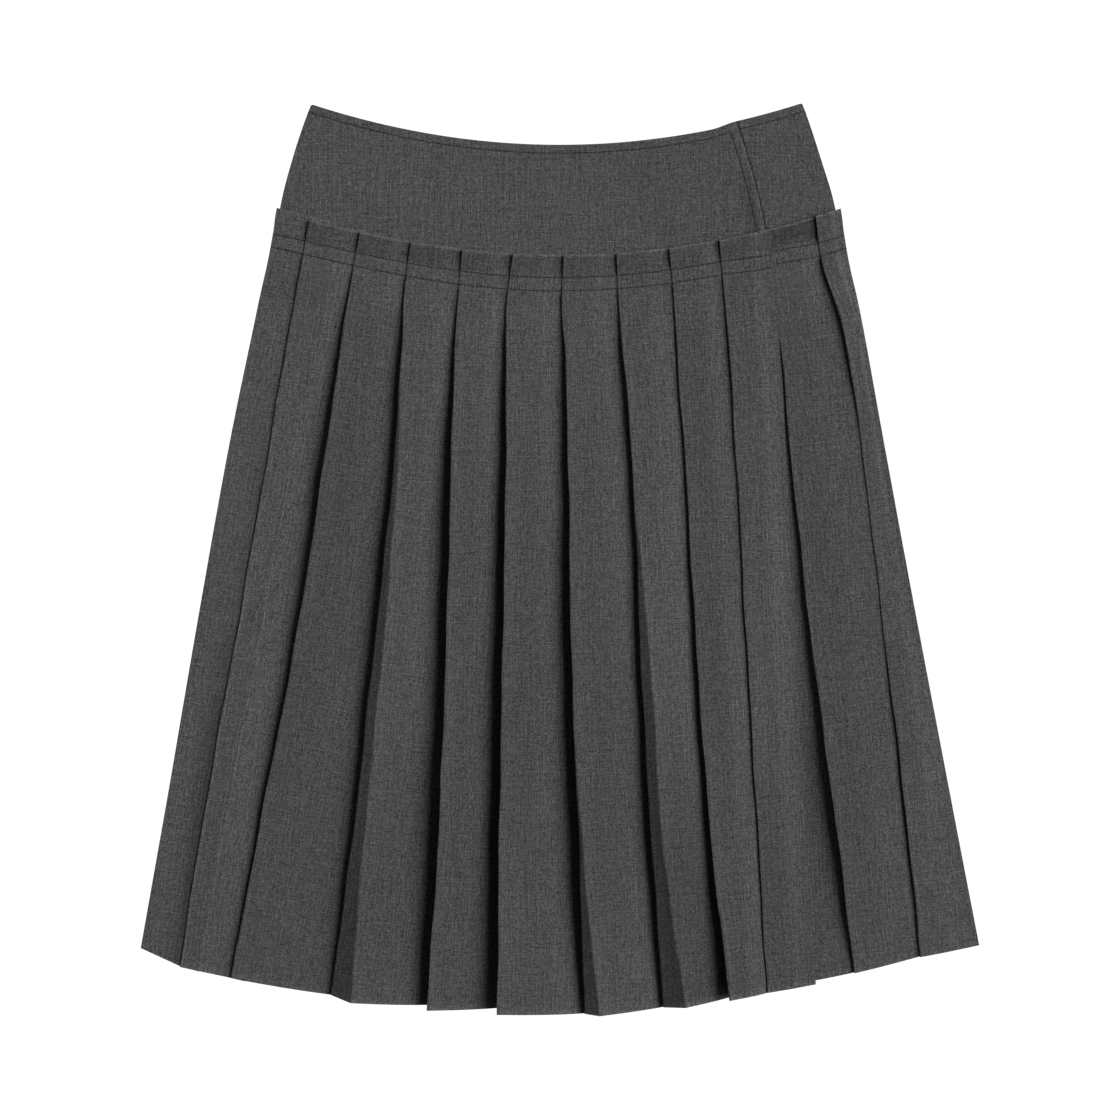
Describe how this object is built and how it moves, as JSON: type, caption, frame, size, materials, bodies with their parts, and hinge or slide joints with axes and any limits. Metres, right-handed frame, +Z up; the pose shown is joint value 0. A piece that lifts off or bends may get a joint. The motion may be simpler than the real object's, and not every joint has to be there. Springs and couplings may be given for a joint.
{
  "type": "pleated midi skirt",
  "caption": "Wrap-look pleated midi skirt laid flat: smooth fitted yoke, free-standing pleated heading, knife pleats fanning to the hem.",
  "frame": {"origin": "on the table, under the middle of the skirt's box", "axes": "+X to the right as seen from above with the waist away, +Y from the hem to the waist, +Z up from the table"},
  "size_m": [0.6284, 0.684, 0.0176],
  "materials": {
    "suiting": "matt charcoal melange wool suiting, plain weave"
  },
  "bodies": {
    "root": {"pleats_back": "suiting", "yoke_back": "suiting", "yoke_underlap": "suiting", "pleats_underlap": "suiting", "yoke_overlap": "suiting", "pleats_overlap": "suiting"}
  },
  "joints": []
}
